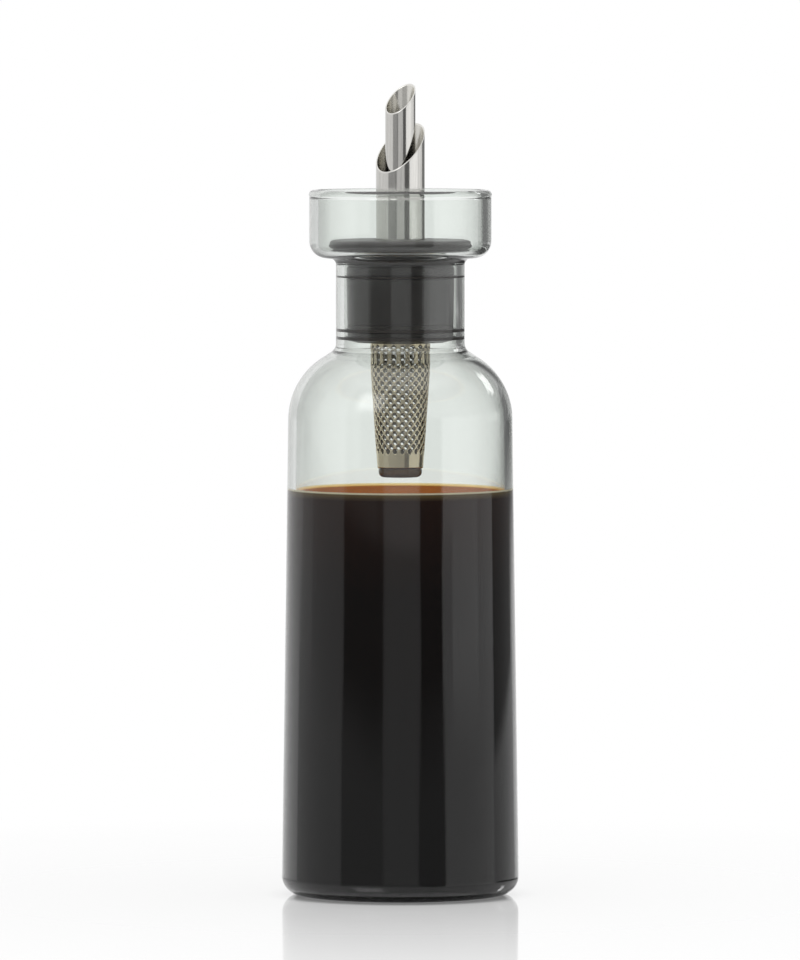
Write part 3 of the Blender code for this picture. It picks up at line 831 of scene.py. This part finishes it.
def build_plug():
    """Sleeve round the hub, with a groove for the upper lip and a step for the lower ring."""
    top_z = cup_floor_z - SEAT_DEPTH - REST_GAP
    groove_z = plug_bottom_z + UPPER_LIP_HEIGHT
    step_z = plug_bottom_z + LOWER_RING_HEIGHT + REST_GAP
    socket_top_z = plug_bottom_z + SPIGOT_LENGTH - FIT_GAP
    profile = [(PLUG_BORE, top_z)]
    profile += arc(PLUG_RADIUS - PLUG_SHOULDER, top_z - PLUG_SHOULDER, PLUG_SHOULDER, 90, 0, 10)
    profile += [(PLUG_RADIUS, groove_z + GROOVE_HALF), (GROOVE_RADIUS, groove_z + GROOVE_HALF)]
    profile += [(GROOVE_RADIUS, groove_z - GROOVE_HALF), (PLUG_RADIUS, groove_z - GROOVE_HALF)]
    profile += [(PLUG_FOOT_RADIUS, step_z), (LOWER_STEP_RADIUS, step_z)]
    profile.append((LOWER_STEP_RADIUS, plug_bottom_z + PLUG_UNDERSIDE_RISE))
    profile += [(STRAINER_SOCKET + SOCKET_RING, plug_bottom_z), (STRAINER_SOCKET, plug_bottom_z)]
    profile += [(STRAINER_SOCKET, socket_top_z), (PLUG_BORE, socket_top_z)]
    mesh = moulded_ring(profile, PLUG_CORNER)
    finish_mesh(
        "plug_sleeve", mesh, stopper_plastic, "stopper", "stopper_plug"
    )


def build_upper_lip():
    """Thin lip in the plug's groove, pressed against the bore."""
    half = UPPER_LIP_THICKNESS / 2
    edge = UPPER_LIP_EDGE / 2
    middle = plug_bottom_z + UPPER_LIP_HEIGHT
    profile = [(UPPER_LIP_ROOT, middle + half), (PLUG_RADIUS, middle + half)]
    profile += [(LIP_RADIUS, middle + edge), (LIP_RADIUS, middle - edge)]
    profile += [(PLUG_RADIUS, middle - half), (UPPER_LIP_ROOT, middle - half)]
    mesh = moulded_ring(profile, UPPER_LIP_CORNER)
    finish_mesh("upper_lip", mesh, seal_silicone, "seals", "upper_seal")


def build_lower_ring():
    """Ring at the plug's foot with two lips that lean upwards where they meet the glass."""
    top_z = plug_bottom_z + LOWER_RING_HEIGHT
    profile = [(LOWER_RING_BORE, top_z), (PLUG_FOOT_RADIUS, top_z)]
    for lip in range(2):
        lip_z = top_z - LOWER_LIP_THICKNESS - LOWER_LIP_DROP - lip * LOWER_LIP_SPACING
        upper_z = lip_z + LOWER_LIP_THICKNESS / 2
        profile += [(PLUG_FOOT_RADIUS, upper_z), (LIP_RADIUS, upper_z)]
        profile.append((LIP_RADIUS, upper_z - LOWER_LIP_EDGE))
        profile.append((PLUG_FOOT_RADIUS, lip_z - LOWER_LIP_THICKNESS / 2))
    profile.append((LOWER_RING_BORE, plug_bottom_z + LOWER_RING_RISE))
    mesh = moulded_ring(profile, LOWER_RING_CORNER)
    finish_mesh("lower_ring", mesh, seal_silicone, "seals", "lower_seal")


# Spouts


def build_spout(name, node, radius, bottom_z, mouth_z):
    """Thin drawn tube; its mouth is cut on the slant and its edge is ground round."""
    inner_r = radius - TUBE_WALL
    middle_r = radius - TUBE_WALL / 2
    mesh = bmesh.new()

    def mouth_height(reach, angle):
        return mouth_z + reach * tan(MOUTH_SLANT) * cos(angle - MOUTH_RISE_DIRECTION)

    rows = [(radius, "foot", 0.0), (radius, "foot", FOOT_HOLD)]
    rows += [(radius, "mouth", -hold) for hold in MOUTH_HOLDS]
    for step in range(MOUTH_EDGE_STEPS + 1):
        turn = pi * step / MOUTH_EDGE_STEPS
        reach = middle_r + TUBE_WALL / 2 * cos(turn)
        rows.append((reach, "mouth", -MOUTH_EDGE * (1 - sin(turn))))
    rows += [(inner_r, "mouth", -hold) for hold in reversed(MOUTH_HOLDS)]
    rows += [(inner_r, "foot", FOOT_HOLD), (inner_r, "foot", 0.0)]
    rings = []
    for reach, start, offset in rows:
        ring = []
        for index in range(STOPPER_FACETS):
            angle = tau * index / STOPPER_FACETS
            height = bottom_z if start == "foot" else mouth_height(reach, angle)
            point = (reach * cos(angle), reach * sin(angle), height + offset)
            ring.append(mesh.verts.new(point))
        rings.append(ring)
    bridge_rows(mesh, rings + rings[:1], wrap=True)
    bmesh.ops.recalc_face_normals(mesh, faces=mesh.faces[:])
    finish_mesh(name, mesh, tube_steel, "stopper", node)


# Strainer


def build_hole_tile(mesh, layer, kind, tall):
    """One diamond of sheet with its dimpled hole, in columns across and rows along."""
    rim = [(1, 0), (2 / 3, 1 / 3), (1 / 3, 2 / 3), (0, 1), (-1 / 3, 2 / 3), (-2 / 3, 1 / 3)]
    rim += [(-across, -along) for across, along in rim]
    angles = [atan2(along, across) for across, along in rim]

    def diamond(depth):
        return [mesh.verts.new((across, along, depth)) for across, along in rim]

    rings = [diamond(0.0)]
    for share, depth in HOLE_RINGS:
        ring = [(share * cos(angle), tall * share * sin(angle)) for angle in angles]
        rings.append([mesh.verts.new((across, along, depth)) for across, along in ring])
    rings.append(diamond(-1.0))
    for face in bridge_rows(mesh, rings, wrap=True):
        face[layer] = kind


def build_edge_tile(mesh, layer, kind, direction, rows_out, curl):
    """A plain tile that closes the pattern: half a diamond, then sheet out to the open end."""
    across = [step / 3 for step in range(-3, 4)]

    def zigzag(depth):
        return [mesh.verts.new((x, -direction * (1 - abs(x)), depth)) for x in across]

    rows = [zigzag(0.0)]
    for share, further, bend, depth in EDGE_PROFILE:
        along = direction * (rows_out * share + further)
        rows.append([mesh.verts.new((x, along, depth - curl * bend)) for x in across])
    rows.append(zigzag(-1.0))
    for face in bridge_rows(mesh, rows if direction > 0 else rows[::-1], wrap=False):
        face[layer] = kind


def strainer_tiles():
    """The tiles that the strainer's sheet is made from, in one flat mesh."""
    mesh = bmesh.new()
    layer = mesh.faces.layers.int.new("tile_kind")
    rim_rows = (strainer_top_z - slot_shift - pattern_top_z) / row_step
    foot_rows = (pattern_foot_z - slot_shift - strainer_foot_z) / row_step
    build_hole_tile(mesh, layer, ROUND_HOLE, 1.0)
    build_hole_tile(mesh, layer, TALL_SLOT, SLOT_TALL)
    build_edge_tile(mesh, layer, RIM_SHEET, 1.0, rim_rows, 0.0)
    build_edge_tile(mesh, layer, FOOT_SHEET, -1.0, foot_rows, FOOT_CURL)
    return mesh_object("strainer_sleeve", mesh)


def compare(tree, value, number):
    """True where a whole number equals another."""
    node = tree.nodes.new("FunctionNodeCompare")
    node.data_type = "INT"
    node.operation = "EQUAL"
    feed(tree, node.inputs[2], value)
    feed(tree, node.inputs[3], number)
    return node.outputs[0]


def build_sleeve_tree(values):
    """Geometry Nodes: rows of dimpled holes on a tapered sleeve, with an input for each value."""
    tree = bpy.data.node_groups.new("perforated sleeve", "GeometryNodeTree")
    new_socket = tree.interface.new_socket
    for way in ("INPUT", "OUTPUT"):
        new_socket(name="Geometry", in_out=way, socket_type="NodeSocketGeometry")
    kinds = {int: "NodeSocketInt", float: "NodeSocketFloat"}
    for label, value in values.items():
        kind = kinds.get(type(value), "NodeSocketMaterial")
        new_socket(name=label, in_out="INPUT", socket_type=kind)
    entry = new_node(tree, "NodeGroupInput")
    tile_kind = tree.nodes.new("GeometryNodeInputNamedAttribute")
    tile_kind.data_type = "INT"
    tile_kind.inputs["Name"].default_value = "tile_kind"
    half_columns = calculate(tree, "DIVIDE", entry["Columns"], 2.0)
    index = new_node(tree, "GeometryNodeInputIndex")[0]

    def tile(kind):
        part = tree.nodes.new("GeometryNodeSeparateGeometry")
        part.domain = "FACE"
        chosen = compare(tree, tile_kind.outputs["Attribute"], kind)
        return feed_inputs(tree, part, Geometry=entry["Geometry"], Selection=chosen)["Selection"]

    def row_height(row):
        steps = product(tree, total(tree, row, 1.0), entry["Row Step"])
        return calculate(tree, "SUBTRACT", entry["Pattern Top"], steps)

    def placed(kind, count, row, chosen=True):
        column = calculate(tree, "MODULO", index, half_columns)
        stagger = calculate(tree, "FLOORED_MODULO", row, 2.0)
        across = total(tree, product(tree, column, 2.0), stagger)
        place = join_vector(tree, total(tree, across, entry["Pattern Turn"]), row_height(row), 0.0)
        points = new_node(tree, "GeometryNodePoints", Count=count, Position=place)[0]
        size = join_vector(tree, 1.0, entry["Row Step"], entry["Sheet Thickness"])
        values = {"Points": points, "Selection": chosen, "Instance": tile(kind), "Scale": size}
        return new_node(tree, "GeometryNodeInstanceOnPoints", **values)[0]

    row = calculate(tree, "FLOOR", calculate(tree, "DIVIDE", index, half_columns))
    in_slot_row = calculate(tree, "COMPARE", row, entry["Slot Row"], 0.5)
    all_rows = product(tree, half_columns, entry["Rows"])
    joined = tree.nodes.new("GeometryNodeJoinGeometry")
    for part in (
        placed(ROUND_HOLE, all_rows, row, calculate(tree, "SUBTRACT", 1.0, in_slot_row)),
        placed(TALL_SLOT, all_rows, row, in_slot_row),
        placed(RIM_SHEET, half_columns, -1.0),
        placed(FOOT_SHEET, half_columns, entry["Rows"]),
    ):
        feed(tree, joined.inputs[0], part)
    real = new_node(tree, "GeometryNodeRealizeInstances", joined.outputs[0])[0]

    across, along, depth = split_vector(tree, new_node(tree, "GeometryNodeInputPosition")[0])
    away = calculate(tree, "SUBTRACT", along, row_height(entry["Slot Row"]))
    half_step = product(tree, entry["Row Step"], 0.5)
    reach = calculate(tree, "MINIMUM", calculate(tree, "ABSOLUTE", away), half_step)
    stretch = product(tree, calculate(tree, "SIGN", away), reach)
    height = calculate(tree, "MULTIPLY_ADD", stretch, entry["Slot Stretch"], along)
    waist = (entry["Waist Height"], entry["Waist Radius"])
    upper = map_range(tree, height, waist[0], entry["Rim Height"], waist[1], entry["Top Radius"])
    lower = map_range(tree, height, entry["Foot Height"], waist[0], entry["Foot Radius"], waist[1])
    sheet = calculate(tree, "SUBTRACT", total(tree, upper, lower), waist[1])
    radius = total(tree, sheet, depth)
    angle = product(tree, calculate(tree, "DIVIDE", across, entry["Columns"]), tau)
    rolled = join_vector(
        tree,
        product(tree, radius, calculate(tree, "COSINE", angle)),
        product(tree, radius, calculate(tree, "SINE", angle)),
        height,
    )
    sleeve = new_node(tree, "GeometryNodeSetPosition", Geometry=real, Position=rolled)[0]
    welding = {"Geometry": sleeve, "Distance": WELD_DISTANCE}
    sleeve = new_node(tree, "GeometryNodeMergeByDistance", **welding)[0]
    steel = {"Geometry": sleeve, "Material": entry["Material"]}
    sleeve = new_node(tree, "GeometryNodeSetMaterial", **steel)[0]
    new_node(tree, "NodeGroupOutput", sleeve)
    return tree


def run_tree(piece, tree, values):
    """Give a piece a Geometry Nodes tree with its values, and keep the result as a plain mesh."""
    modifier = piece.modifiers.new(tree.name, "NODES")
    modifier.node_group = tree
    for item in tree.interface.items_tree:
        if item.in_out == "INPUT" and item.name in values:
            modifier[item.identifier] = values[item.name]
    depsgraph = bpy.context.evaluated_depsgraph_get()
    data = bpy.data.meshes.new_from_object(piece.evaluated_get(depsgraph))
    piece.modifiers.remove(modifier)
    old = piece.data
    piece.data = data
    bpy.data.meshes.remove(old)


def build_strainer():
    """The tapered steel sleeve, hung from the hub's spigot."""
    values = {
        "Columns": STRAINER_COLUMNS,
        "Rows": STRAINER_ROWS,
        "Row Step": row_step,
        "Pattern Top": pattern_top_z,
        "Pattern Turn": PATTERN_TURN,
        "Sheet Thickness": STRAINER_SHEET,
        "Top Radius": STRAINER_RIM_RADIUS,
        "Waist Radius": STRAINER_WAIST_RADIUS,
        "Foot Radius": STRAINER_FOOT_RADIUS,
        "Rim Height": strainer_top_z,
        "Waist Height": strainer_waist_z,
        "Foot Height": strainer_foot_z,
        "Slot Row": SLOT_ROW,
        "Slot Stretch": SLOT_STRETCH,
        "Material": strainer_steel,
    }
    piece = strainer_tiles()
    run_tree(piece, build_sleeve_tree(values), values)
    mesh = bmesh.new()
    mesh.from_mesh(piece.data)
    flat = [face for face in mesh.faces if face.calc_area() < FLAT_FACE_AREA]
    bmesh.ops.delete(mesh, geom=flat, context="FACES_ONLY")
    bmesh.ops.recalc_face_normals(mesh, faces=mesh.faces[:])
    mesh.to_mesh(piece.data)
    mesh.free()
    piece.data.shade_smooth()
    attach(piece, "strainer")
    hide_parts("strainer")


def build_strainer_cap():
    """Hollow end cap, pushed into the foot of the strainer."""
    cap_r = STRAINER_FOOT_RADIUS - STRAINER_SHEET
    spigot_r = cap_r - FIT_GAP
    top_z = cap_bottom_z + CAP_HEIGHT
    profile = [(0.0, cap_bottom_z)]
    profile += arc(cap_r - CAP_CORNER, cap_bottom_z + CAP_CORNER, CAP_CORNER, -90, 0, 12)
    profile += [(cap_r, top_z), (spigot_r, top_z), (spigot_r, top_z + CAP_SPIGOT)]
    hollow_r, floor_z = spigot_r - CAP_WALL, cap_bottom_z + CAP_WALL
    profile += [(hollow_r, top_z + CAP_SPIGOT), (hollow_r, floor_z), (0.0, floor_z)]
    mesh = turned_mesh(ease_corners(profile, CAP_EDGE), CAP_FACETS, closed=False)
    finish_mesh(
        "strainer_end_cap", mesh, cap_plastic, "strainer", "strainer_cap"
    )


# Build every piece

build_bottle()
build_filling()
build_flange()
build_plug()
build_upper_lip()
build_lower_ring()
outer_mouth_z = cup_floor_z + OUTER_SPOUT_HEIGHT
inner_mouth_z = cup_floor_z + INNER_SPOUT_HEIGHT
outer_foot_z = plug_bottom_z + TUBE_LEDGE_HEIGHT + FIT_GAP
inner_foot_z = outer_foot_z + INNER_SPOUT_STEP
build_spout("outer_tube", "outer_spout", OUTER_SPOUT_RADIUS, outer_foot_z, outer_mouth_z)
build_spout("inner_tube", "inner_spout", INNER_SPOUT_RADIUS, inner_foot_z, inner_mouth_z)
build_strainer()
build_strainer_cap()
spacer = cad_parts["tube_spacer"]
spacer.data.materials.clear()
spacer.data.materials.append(spacer_plastic)


# Studio

# Where each band of light ends, in degrees round the bottle from the camera, and how bright it is
STEEP_BANDS = (
    (-60, 0.66), (-17, 0.50), (20, 0.46), (44, 0.18), (108, 0.95), (165, 0.08), (180, 1.0),
)
FOOT_BANDS = (
    (-122, 1.05), (-60, 0.68), (-17, 0.36), (18, 0.52), (45, 0.27), (105, 0.87), (150, 0.62),
    (180, 1.0),
)
LOW_BANDS = (
    (-172, 1.00), (-150, 0.85), (-118, 0.95), (-100, 0.75), (-59, 0.60), (-17, 0.14), (20, 0.50),
    (43, 0.12), (54, 0.90), (85, 1.25), (106, 1.00), (140, 0.72), (165, 0.15), (180, 1.00),
)
MIDDLE_BANDS = (
    (-156, 0.95), (-110, 0.82), (-59, 0.95), (-24, 0.46), (-17, 0.30), (20, 0.74), (44, 0.12),
    (92, 1.25), (134, 1.00), (155, 0.06), (170, 0.50), (180, 1.00),
)
HIGH_BANDS = ((-60, 1.0), (45, 0.60), (110, 0.80), (155, 0.60), (167, 0.15), (180, 1.0))
# Bands, the softness of their edges, and the heights in degrees between which they take over
BAND_LEVELS = (
    (FOOT_BANDS, 0.6, -6.0, -5.0),
    (LOW_BANDS, 0.6, -3.2, -2.3),
    (MIDDLE_BANDS, 0.6, -1.75, -1.45),
    (HIGH_BANDS, 3.0, 3.0, 9.0),
)
OVERHEAD_RISE = (42.0, 58.0)
OVERHEAD_LIGHT = (1.4,) * 3
UNDERNEATH_RISE = (-34.0, -22.0)
UNDERNEATH_LIGHT = (0.85,) * 3
# Middle, half width and softness in degrees, first round the bottle and then in height
LOW_FLAG = ((126.0, 19.0, 0.35), (-2.65, 0.75, 0.15))
HIGH_FLAG = ((140.0, 15.0, 0.6), (4.15, 6.05, 0.15))
LEFT_BOX = ((-34.0, 15.0, 7.0), (31.0, 13.0, 7.0))
RIGHT_BOX = ((131.5, 4.2, 1.0), (25.0, 6.4, 1.5))
RIGHT_BOX_LEAN = 0.875
FLAG_SHADE = (0.22,) * 3
LEFT_BOX_LIGHT = (3.0,) * 3
RIGHT_BOX_LIGHT = (5.0,) * 3
BACKDROP = (1.0,) * 3
BACKDROP_THROUGH_GLASS = 0.80

TABLE_RADIUS = 0.30
TABLE_DROP = 0.0001
TABLE_PALE = (0.96,) * 3
TABLE_GLOSS = (0.93,) * 3
TABLE_ROUGHNESS = 0.06
REFLECTION_REACH = (0.035, 0.200)
MIRRORING = (0.83, 0.70)
WHITENING = (0.42, 0.67)
# A thin ring round the foot where the white glow drops: a painted contact shadow
SHADOW_REACH = (BASE_RADIUS - 0.001, BASE_RADIUS + 0.006)
SHADOW_LIGHT = 0.25
TABLE_FADE = (0.20, 0.29)
SHOWN_IN_GLASS = 0.060

CAMERA_PLACE = Vector((-0.0001, -2.98, 0.270))
CAMERA_AIM = Vector((-0.0001, 0.0, 0.1224))
LENS_LENGTH = 379.2


def build_world():
    """A white backdrop, with softboxes and black flags round it for metal and glass to show."""
    world = bpy.data.worlds.new("studio")
    bpy.context.scene.world = world
    world.use_nodes = True
    tree = world.node_tree
    tree.nodes.clear()
    across, along, rise = split_vector(tree, new_node(tree, "ShaderNodeTexCoord")["Generated"])
    turn = calculate(tree, "ARCTAN2", across, product(tree, along, -1.0))
    share = total(tree, calculate(tree, "DIVIDE", turn, tau), 0.5)
    turn = calculate(tree, "DEGREES", turn)
    height = calculate(tree, "DEGREES", calculate(tree, "ARCSINE", rise))

    def bands(stops, soft):
        ramp = []
        start = -180
        for index, (end, level) in enumerate(stops):
            colour = (level, level, level)
            first = start if index == 0 else start + soft
            last = end if index == len(stops) - 1 else end - soft
            ramp += [((first + 180) / 360, colour), ((last + 180) / 360, colour)]
            start = end
        return colour_ramp(tree, share, ramp)

    def above(low_edge, high_edge, lower, upper):
        mask = map_range(tree, height, low_edge, high_edge, 0.0, 1.0, smooth=True)
        return mix_colours(tree, mask, lower, upper)

    def inside(value, half, soft):
        size = calculate(tree, "ABSOLUTE", value)
        return map_range(tree, size, half - soft, half + soft, 1.0, 0.0, smooth=True)

    def window(turn_span, height_span, lean=0.0):
        turn_middle, turn_half, turn_soft = turn_span
        height_middle, height_half, height_soft = height_span
        over = calculate(tree, "SUBTRACT", height, height_middle)
        middle = calculate(tree, "MULTIPLY_ADD", over, lean, turn_middle)
        wide = inside(calculate(tree, "SUBTRACT", turn, middle), turn_half, turn_soft)
        return product(tree, wide, inside(over, height_half, height_soft))

    surround = bands(STEEP_BANDS, 1.5)
    for stops, soft, low_edge, high_edge in BAND_LEVELS:
        surround = above(low_edge, high_edge, surround, bands(stops, soft))
    surround = above(*OVERHEAD_RISE, surround, OVERHEAD_LIGHT)
    surround = above(*UNDERNEATH_RISE, UNDERNEATH_LIGHT, surround)
    flags = calculate(tree, "MAXIMUM", window(*LOW_FLAG), window(*HIGH_FLAG))
    surround = mix_colours(tree, flags, surround, FLAG_SHADE)
    surround = mix_colours(tree, window(*LEFT_BOX), surround, LEFT_BOX_LIGHT)
    right_box = window(*RIGHT_BOX, lean=RIGHT_BOX_LEAN)
    surround = mix_colours(tree, right_box, surround, RIGHT_BOX_LIGHT)
    rays = new_node(tree, "ShaderNodeLightPath")
    turned_back = total(tree, rays["Glossy Depth"], rays["Diffuse Depth"])
    straight = calculate(tree, "LESS_THAN", turned_back, 0.5)
    through = product(tree, rays["Is Transmission Ray"], straight)
    through = product(tree, through, BACKDROP_THROUGH_GLASS)
    seen = calculate(tree, "MAXIMUM", rays["Is Camera Ray"], through)
    background = new_node(tree, "ShaderNodeBackground", mix_colours(tree, seen, surround, BACKDROP))
    new_node(tree, "ShaderNodeOutputWorld", background[0])


def build_floor():
    """A pale gloss table top that keeps the bottle's shadow and its fading reflection, with a
    painted contact shadow in a thin ring round the foot.
    """
    mesh = bmesh.new()
    bmesh.ops.create_circle(mesh, cap_ends=True, segments=128, radius=TABLE_RADIUS)
    table = mesh_object("table_top", mesh)
    table.location = (0.0, 0.0, -TABLE_DROP)
    material, tree, shader = new_material(
        "pale table top", Base_Color=TABLE_PALE, Roughness=0.9, Specular_IOR_Level=0.0
    )
    polish = {"Color": TABLE_GLOSS, "Roughness": TABLE_ROUGHNESS}
    gloss = new_node(tree, "ShaderNodeBsdfGlossy", **polish)[0]
    white = new_node(tree, "ShaderNodeEmission")[0]
    clear = new_node(tree, "ShaderNodeBsdfTransparent")[0]
    rays = new_node(tree, "ShaderNodeLightPath")
    radius = axis_place(tree)[0]
    mirroring = map_range(tree, radius, *REFLECTION_REACH, *MIRRORING)
    surface = mix_shaders(tree, mirroring, shader.outputs[0], gloss)
    # Painted contact shadow: less white glow in a thin ring round the foot
    unshaded = map_range(tree, radius, *SHADOW_REACH, SHADOW_LIGHT, 1.0, smooth=True)
    whitened = map_range(tree, radius, *REFLECTION_REACH, *WHITENING)
    surface = mix_shaders(tree, product(tree, whitened, unshaded), surface, white)
    faded = map_range(tree, radius, *TABLE_FADE, 0.0, 1.0, smooth=True)
    surface = mix_shaders(tree, faded, surface, white)
    bounced = calculate(tree, "MAXIMUM", rays["Is Glossy Ray"], rays["Is Transmission Ray"])
    away = calculate(tree, "GREATER_THAN", radius, SHOWN_IN_GLASS)
    surface = mix_shaders(tree, product(tree, bounced, away), surface, clear)
    feed_inputs(tree, tree.nodes["Material Output"], Surface=surface)
    table.data.materials.append(material)


def build_camera():
    """The photograph's long lens, a little above the dispenser."""
    lens = bpy.data.cameras.new("photo camera")
    lens.sensor_width = 36.0
    lens.lens = LENS_LENGTH
    lens.clip_start = 0.05
    lens.clip_end = 30.0
    camera = new_object("photo camera", lens)
    camera.location = CAMERA_PLACE
    camera.rotation_mode = "QUATERNION"
    camera.rotation_quaternion = (CAMERA_AIM - CAMERA_PLACE).to_track_quat("-Z", "Y")
    bpy.context.scene.camera = camera


build_world()
build_floor()
build_camera()
bpy.context.scene.view_settings.view_transform = "Standard"
